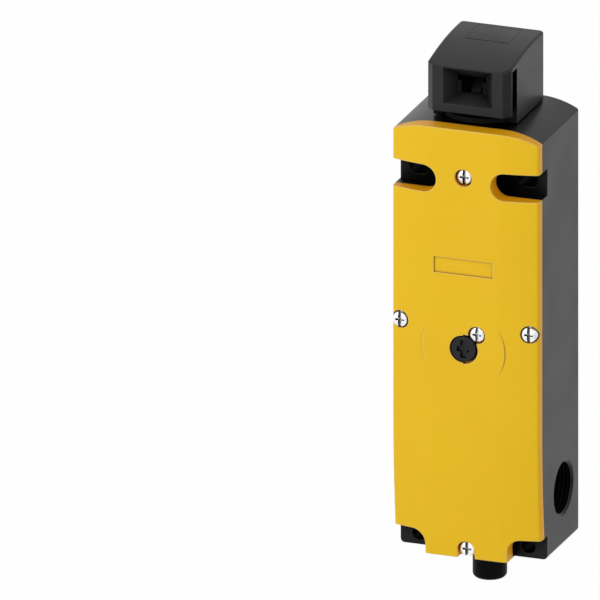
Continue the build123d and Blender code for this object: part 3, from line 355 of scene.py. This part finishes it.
acetal = mouldedFinish("acetal", {
    "colour": (226, 222, 208), "patchColour": (218, 213, 198), "edgeHighlightColour": (236, 233, 222),
    "creaseShadeColour": (150, 142, 124),
    "roughness": (0.34, 0.42), "specular": 0.4, "grain": 1600.0, "patch": 110.0,
    "bump": 0.2, "bumpDepth": 0.00001, "edgeRadius": 0.0002, "edgeGain": 1.0,
    "creaseReach": 0.0006})

contactBlockPlastic = mouldedFinish("contactBlockPlastic", {
    "colour": (126, 129, 132), "patchColour": (118, 121, 124), "edgeHighlightColour": (150, 152, 155),
    "creaseShadeColour": (60, 62, 64),
    "roughness": (0.44, 0.52), "specular": 0.35, "grain": 1800.0, "patch": 90.0,
    "bump": 0.3, "bumpDepth": 0.00002, "edgeRadius": 0.0002, "edgeGain": 1.5,
    "creaseReach": 0.0006})

# a black casting, made near black also to paint the deep shade under the head
blackCastingAndShade = mouldedFinish("blackCastingAndShade", {
    "colour": (13, 13, 14), "patchColour": (10, 10, 11), "edgeHighlightColour": (34, 34, 36),
    "creaseShadeColour": (3, 3, 3),
    "roughness": (0.45, 0.60), "specular": 0.08, "grain": 900.0, "patch": 120.0,
    "bump": 0.4, "bumpDepth": 0.00004, "edgeRadius": 0.0002, "edgeGain": 1.0,
    "creaseReach": 0.0012})

conduitBlack = mouldedFinish("conduitBlack", {
    "colour": (12, 12, 13), "patchColour": (9, 9, 10), "edgeHighlightColour": (24, 24, 25),
    "creaseShadeColour": (4, 4, 4),
    "roughness": (0.45, 0.55), "specular": 0.06, "grain": 2400.0, "patch": 90.0,
    "bump": 0.2, "bumpDepth": 0.00002, "edgeRadius": 0.0002, "edgeGain": 1.0,
    "creaseReach": 0.0010})

# blackened steel, made near black and nearly without sheen also to paint the deep shade in the
# head's throat
blackenedWheelAndShade = metalFinish("blackenedWheelAndShade", {
    "colour": (14, 14, 15), "shadeColour": (10, 10, 11), "edgeHighlightColour": (26, 26, 27),
    "roughness": (0.5, 0.62), "metallic": 0.2, "specular": 0.08, "across": 2500.0, "along": 200.0,
    "bump": 0.3, "bumpDepth": 0.00001, "edgeRadius": 0.0002, "edgeGain": 1.0})

screwZinc = metalFinish("screwZinc", {
    "colour": (250, 250, 250), "shadeColour": (242, 243, 245), "edgeHighlightColour": (253, 253, 253),
    "roughness": (0.28, 0.42), "metallic": 0.85, "across": 1400.0, "along": 900.0,
    "bump": 0.2, "bumpDepth": 0.00001, "edgeRadius": 0.00015, "edgeGain": 1.0})

# painted shade: near black, for the walls of the screws' slots and crosses
recessShade = metalFinish("recessShade", {
    "colour": (8, 8, 8), "shadeColour": (5, 5, 5), "edgeHighlightColour": (24, 24, 24),
    "roughness": (0.5, 0.6), "metallic": 0.9, "across": 1400.0, "along": 900.0,
    "bump": 0.2, "bumpDepth": 0.00001, "edgeRadius": 0.0001, "edgeGain": 0.5})

darkSteel = metalFinish("darkSteel", {
    "colour": (14, 14, 15), "shadeColour": (10, 10, 11), "edgeHighlightColour": (40, 40, 42),
    "roughness": (0.35, 0.5), "metallic": 0.9, "across": 2500.0, "along": 200.0,
    "bump": 0.3, "bumpDepth": 0.00001, "edgeRadius": 0.0002, "edgeGain": 1.5})

springWire = metalFinish("springWire", {
    "colour": (196, 197, 200), "shadeColour": (170, 171, 175), "edgeHighlightColour": (220, 220, 222),
    "roughness": (0.22, 0.34), "metallic": 1.0, "across": 800.0, "along": 800.0,
    "bump": 0.2, "bumpDepth": 0.000004, "edgeRadius": 0.0001, "edgeGain": 1.0})

yokeSteel = metalFinish("yokeSteel", {
    "colour": (206, 206, 202), "shadeColour": (184, 184, 178), "edgeHighlightColour": (224, 224, 222),
    "roughness": (0.32, 0.48), "metallic": 0.95, "across": 500.0, "along": 90.0,
    "bump": 0.3, "bumpDepth": 0.00001, "edgeRadius": 0.0002, "edgeGain": 1.5})

turnedBrass = metalFinish("turnedBrass", {
    "colour": (212, 178, 106), "shadeColour": (192, 156, 84), "edgeHighlightColour": (232, 204, 142),
    "roughness": (0.24, 0.38), "metallic": 1.0, "across": 5200.0, "along": 300.0,
    "bump": 0.35, "bumpDepth": 0.000006, "edgeRadius": 0.00015, "edgeGain": 1.5})

windingTape = metalFinish("windingTape", {
    "colour": (186, 104, 52), "shadeColour": (160, 84, 40), "edgeHighlightColour": (206, 130, 76),
    "roughness": (0.3, 0.44), "metallic": 0.4, "across": 4200.0, "along": 40.0,
    "bump": 0.7, "bumpDepth": 0.00004, "edgeRadius": 0.0002, "edgeGain": 1.0})

finishOfSlot = {
    "housing_plastic": housingPlastic, "cover_plastic": coverPlastic, "head_plastic": headPlastic,
    "black_plastic": blackPlastic, "seal_rubber": sealRubber, "zinc_steel": yokeSteel,
    "dark_steel": darkSteel, "spring_steel": springWire, "brass": turnedBrass,
    "copper_winding": windingTape, "black_casting": blackCastingAndShade, "natural_plastic": acetal,
    "grey_plastic": contactBlockPlastic}

# nodes whose finish differs from the rest of their slot
finishOfNode = {
    "cover_screws": screwZinc, "seal_screw": screwZinc, "terminal_screws": screwZinc,
    "release_knob": knobPlastic, "cam_wheel": blackenedWheelAndShade, "guide_plate": blackenedWheelAndShade}

slotOfNode = {part["node"]: part["material_slot"] for part in frame["record"]["subparts"]}
for node, piece in frame["nodes"].items():
    piece.data.materials.clear()
    piece.data.materials.append(finishOfNode.get(node, finishOfSlot[slotOfNode[node]]))
print("finishes made and put on the nodes")


# Making pieces

forward = Vector((0, -1, 0))
upward = Vector((0, 0, 1))
rightward = Vector((1, 0, 0))
sharpAngle = radians(35.0)


def newPiece(name, form, finish, body=None):
    bmesh.ops.remove_doubles(form, verts=form.verts, dist=1e-7)
    bmesh.ops.recalc_face_normals(form, faces=form.faces)
    mesh = bpy.data.meshes.new(name)
    form.to_mesh(mesh)
    form.free()
    mesh.materials.append(finish)
    for face in mesh.polygons:
        face.use_smooth = True
    mesh.set_sharp_from_angle(angle=sharpAngle)
    piece = bpy.data.objects.new(name, mesh)
    bpy.context.scene.collection.objects.link(piece)
    if body:
        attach(piece, body)
    return piece


def spin(profile, centre, axis, outward, steps, turns=1.0, climb=0.0, closed=False):
    # carries a profile of (radius, distance along the axis) about the axis, all in mm
    form = bmesh.new()
    points = [form.verts.new(centre + outward * (radius * mm) + axis * (along * mm))
              for radius, along in profile]
    ends = zip(points, points[1:] + points[:1]) if closed else zip(points, points[1:])
    edges = [form.edges.new(pair) for pair in ends]
    count = round(steps * turns)
    bmesh.ops.spin(form, geom=points + edges, cent=centre, axis=axis,
                   dvec=axis * (climb * mm) / steps, angle=2 * pi * turns, steps=count,
                   use_merge=climb == 0.0)
    return form


def cutAway(piece, cutters):
    # the walls of a cut get the cutter's finish, which is dark and paints shade on them
    for cutter in cutters:
        cut = piece.modifiers.new("cut", "BOOLEAN")
        cut.operation = "DIFFERENCE"
        cut.solver = "EXACT"
        cut.material_mode = "TRANSFER"
        cut.object = cutter
    evaluated = piece.evaluated_get(bpy.context.evaluated_depsgraph_get())
    made = bpy.data.meshes.new_from_object(evaluated)
    piece.modifiers.clear()
    piece.data = made
    made.set_sharp_from_angle(angle=sharpAngle)
    for cutter in cutters:
        bpy.data.objects.remove(cutter)


def lightenFloors(piece):
    # the floor of a cut keeps the piece's own finish, and only its walls keep the painted shade
    squareOn = 0.9
    for face in piece.data.polygons:
        if face.normal.dot(forward) > squareOn:
            face.material_index = 0


def cutterBox(name, centre, size, narrow=1.0, finish=recessShade):
    # a box whose far end, into the part, is narrower
    form = bmesh.new()
    bmesh.ops.create_cube(form, size=1.0)
    bmesh.ops.scale(form, vec=size, verts=form.verts)
    deep = [vert for vert in form.verts if vert.co.y > 0]
    bmesh.ops.scale(form, vec=(narrow, 1.0, narrow), verts=deep)
    bmesh.ops.translate(form, vec=centre, verts=form.verts)
    return newPiece(name, form, finish)


# lengths in mm; dome is (radius, drop below the top), and deepest a share of the head's height
panScrew = {
    "headRadius": 2.8, "dome": ((0.0, 0.0), (1.32, 0.02), (2.2, 0.14), (2.56, 0.3025), (2.8, 1.1)),
    "shankRadius": 1.48, "tipLength": 0.5, "steps": 56,
    "slotWidth": 1.15, "slotDepth": 1.9,
    "crossReach": 1.9, "crossWidth": 0.9, "crossDepth": 1.4, "crossTaper": 0.7, "deepest": 0.75}


def makePanScrew(name, seat, headHeight, length):
    # a pan head with a driver slot and a cross, its shank pointing back
    look = panScrew
    head, shank = look["headRadius"], look["shankRadius"]
    profile = [(radius, headHeight - drop) for radius, drop in look["dome"]]
    profile += [(head, 0.0), (shank, 0.0), (shank, look["tipLength"] - length), (0.0, -length)]
    form = spin(profile, seat, forward, rightward, look["steps"])
    screw = newPiece(name, form, screwZinc, "housing")
    face = seat + forward * headHeight * mm
    deepest = look["deepest"] * headHeight
    slotDepth, crossDepth = min(look["slotDepth"], deepest), min(look["crossDepth"], deepest)
    slot = Vector((look["slotWidth"], 2 * slotDepth, 3 * head)) * mm
    bar = Vector((2 * look["crossReach"], 2 * crossDepth, look["crossWidth"])) * mm
    post = Vector((bar.z, bar.y, bar.x))
    cutAway(screw, [cutterBox("slotCutter", face, slot),
                    cutterBox("barCutter", face, bar, narrow=look["crossTaper"]),
                    cutterBox("postCutter", face, post, narrow=look["crossTaper"])])
    lightenFloors(screw)
    return screw


# lengths in mm; a screw's seat is found on the node's points within searchShare head radii
screwRow = {
    "sideHeight": 81.4, "headHeight": 2.9, "length": 10.0, "searchShare": 1.2,
    "sealHeadHeight": 1.9, "sealLength": 5.9}


def makeCoverScrews():
    look = screwRow
    low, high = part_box("cover_screws")
    head = panScrew["headRadius"] * mm
    sideX, sideZ = high.x - head, look["sideHeight"] * mm
    places = {"top": (0.0, high.z - head), "left": (-sideX, sideZ),
              "right": (sideX, sideZ), "bottom": (0.0, low.z + head)}
    points = [vert.co for vert in frame["nodes"]["cover_screws"].data.vertices]
    reach = look["searchShare"] * head
    for name, (x, z) in places.items():
        near = [point.y for point in points
                if (point.x - x) ** 2 + (point.z - z) ** 2 < reach ** 2]
        seat = Vector((x, min(near) + look["headHeight"] * mm, z))
        screw = makePanScrew("cover_screw_" + name, seat, look["headHeight"], look["length"])
        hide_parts("cover_screws")
    low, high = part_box("seal_screw")
    middle = (low + high) / 2
    seat = Vector((middle.x, low.y + look["sealHeadHeight"] * mm, middle.z))
    screw = makePanScrew("seal_screw_detail", seat, look["sealHeadHeight"], look["sealLength"])
    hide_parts("seal_screw")


makeCoverScrews()
print("cover screws made")

# lengths in mm
releaseCap = {
    "radius": 4.55, "chamfer": 0.25, "thickness": 1.15, "steps": 72, "recessDepth": 1.1,
    "slotWidth": 2.1, "slotLength": 6.6, "barWidth": 1.9, "barLength": 4.6}


def makeReleaseCap():
    # the face of the auxiliary release, nearly flush, with a broad cross for the driver
    look = releaseCap
    sealLow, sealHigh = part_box("release_seal")
    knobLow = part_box("release_knob")[0]
    middle = (sealLow + sealHigh) / 2
    seat = Vector((middle.x, knobLow.y, middle.z))
    radius, chamfer, thickness = look["radius"], look["chamfer"], look["thickness"]
    profile = [(0.0, thickness), (radius - chamfer, thickness), (radius, thickness - chamfer),
               (radius, 0.0), (0.0, 0.0)]
    form = spin(profile, seat, forward, rightward, look["steps"])
    cap = newPiece("release_cap", form, knobPlastic, "release")
    face = seat + forward * thickness * mm
    deep = 2 * look["recessDepth"]
    upright = Vector((look["slotWidth"], deep, look["slotLength"])) * mm
    level = Vector((look["barLength"], deep, look["barWidth"])) * mm
    # the recess walls get the black finish as painted shade
    cutAway(cap, [cutterBox("uprightCutter", face, upright, finish=blackPlastic),
                  cutterBox("levelCutter", face, level, finish=blackPlastic)])
    lightenFloors(cap)


makeReleaseCap()
print("release cap made")

# lengths in mm; ridge and lead are profiles of (radius, distance inwards)
conduitThread = {
    "ridge": ((10.04, -0.62), (9.25, -0.1), (9.25, 0.1), (10.04, 0.62)),
    "pitch": 1.5, "inset": 1.5, "turns": 6.6, "steps": 72,
    "lead": ((10.04, 0.0), (9.05, 0.75), (9.15, 0.95), (10.04, 1.05))}


def makeConduitThreads():
    # the thread's ridge winds in from the mouth, behind a chamfered lead-in ring
    look = conduitThread
    steps = look["steps"]
    for name in ("conduit_right", "conduit_left"):
        mount = mounts[name]
        out = Vector(mount["axis"])
        mouth = Vector(mount["pos_m"]) + out * mount["dims"]["length_mm"] / 2 * mm
        start = mouth - out * look["inset"] * mm
        form = spin(look["ridge"], start, -out, upward, steps, turns=look["turns"],
                    climb=look["pitch"], closed=True)
        ends = [edge for edge in form.edges if edge.is_boundary]
        bmesh.ops.holes_fill(form, edges=ends, sides=4)
        newPiece(name + "_thread", form, conduitBlack, "housing")
        form = spin(look["lead"], mouth, -out, upward, steps, closed=True)
        newPiece(name + "_lead", form, housingPlastic, "housing")


makeConduitThreads()
print("conduit threads made")


# Studio

white = (1, 1, 1, 1)


def makeCamera():
    look = {"azimuth": 20.0, "elevation": 20.0, "width": 0.20768,
            "aside": -0.071305, "above": 0.072439, "away": 1.2}
    around = Matrix.Rotation(radians(look["azimuth"]), 4, "Z")
    down = Matrix.Rotation(radians(90.0 - look["elevation"]), 4, "X")
    place = Matrix.Translation((look["aside"], look["above"], look["away"]))
    camera = bpy.data.objects.new("camera", bpy.data.cameras.new("camera"))
    camera.data.type = "ORTHO"
    camera.data.ortho_scale = look["width"]
    camera.data.clip_start = 0.01
    camera.data.clip_end = 20.0
    camera.matrix_world = around @ down @ place
    bpy.context.scene.collection.objects.link(camera)
    bpy.context.scene.camera = camera


def whiteToCamera(tree, lit, shown, share=1.0):
    # the camera, gloss and glass see the shown shader, and everything else the lit one
    path = addNode(tree, "ShaderNodeLightPath")
    seen = mathNode(tree, "MAXIMUM", path.outputs["Is Camera Ray"], path.outputs["Is Glossy Ray"])
    seen = mathNode(tree, "MAXIMUM", seen, path.outputs["Is Transmission Ray"])
    mix = addNode(tree, "ShaderNodeMixShader")
    tree.links.new(mathNode(tree, "MULTIPLY", seen, share), mix.inputs["Fac"])
    tree.links.new(lit.outputs[0], mix.inputs[1])
    tree.links.new(shown.outputs[0], mix.inputs[2])
    return mix.outputs[0]


def makeWorld():
    look = {"ambient": 0.46, "seen": 1.0}
    world = bpy.data.worlds.new("studio")
    bpy.context.scene.world = world
    world.use_nodes = True
    tree = world.node_tree
    tree.nodes.clear()
    ambient = addNode(tree, "ShaderNodeBackground")
    ambient.inputs["Strength"].default_value = look["ambient"]
    ambient.inputs["Color"].default_value = white
    seen = addNode(tree, "ShaderNodeBackground")
    seen.inputs["Strength"].default_value = look["seen"]
    seen.inputs["Color"].default_value = white
    output = addNode(tree, "ShaderNodeOutputWorld")
    tree.links.new(whiteToCamera(tree, ambient, seen), output.inputs["Surface"])


def makeFloor():
    look = {"reach": 3.0, "colour": (0.82, 0.82, 0.82, 1), "roughness": 0.8, "seenShare": 0.985}
    form = bmesh.new()
    bmesh.ops.create_grid(form, x_segments=1, y_segments=1, size=look["reach"])
    bmesh.ops.translate(form, vec=(0, 0, cadLow.z), verts=form.verts)
    material, tree, shader = newFinish("paleFloor")
    shader.inputs["Base Color"].default_value = look["colour"]
    shader.inputs["Roughness"].default_value = look["roughness"]
    glow = addNode(tree, "ShaderNodeEmission")
    glow.inputs["Color"].default_value = white
    output = next(node for node in tree.nodes if node.type == "OUTPUT_MATERIAL")
    tree.links.new(whiteToCamera(tree, shader, glow, look["seenShare"]), output.inputs["Surface"])
    floor = newPiece("floor", form, material)


def makeDarkCard():
    # a dark card beside the part, out of the picture, that the right chamfer mirrors
    look = {"low": (0.12, -0.9, -0.0182), "high": (1.1, 0.05, -0.0180),
            "colour": (0.02, 0.02, 0.02, 1), "roughness": 0.9}
    form = bmesh.new()
    bmesh.ops.create_cube(form, size=1.0)
    low, high = Vector(look["low"]), Vector(look["high"])
    bmesh.ops.scale(form, vec=high - low, verts=form.verts)
    bmesh.ops.translate(form, vec=(low + high) / 2, verts=form.verts)
    material, tree, shader = newFinish("darkCard")
    shader.inputs["Base Color"].default_value = look["colour"]
    shader.inputs["Roughness"].default_value = look["roughness"]
    card = newPiece("darkCard", form, material)
    card.visible_camera = card.visible_diffuse = card.visible_shadow = False


lamps = {
    "keyLamp": {"place": (-0.75, -1.52, 0.75), "size": 0.9, "power": 14.8},
    "fillLamp": {"place": (1.3, -0.5, 0.5), "size": 0.9, "power": 2.5}}
lampTarget = (0, -0.02, 0.09)


def makeLamp(name, look):
    light = bpy.data.lights.new(name, "AREA")
    light.shape = "DISK"
    light.size = look["size"]
    light.energy = look["power"]
    lamp = bpy.data.objects.new(name, light)
    place = Vector(look["place"])
    aim = (Vector(lampTarget) - place).to_track_quat("-Z", "Y")
    lamp.matrix_world = Matrix.Translation(place) @ aim.to_matrix().to_4x4()
    bpy.context.scene.collection.objects.link(lamp)


makeCamera()
makeWorld()
makeFloor()
makeDarkCard()
for name, look in lamps.items():
    makeLamp(name, look)
bpy.context.scene.view_settings.view_transform = "Standard"
print("camera, lamps and floor placed")
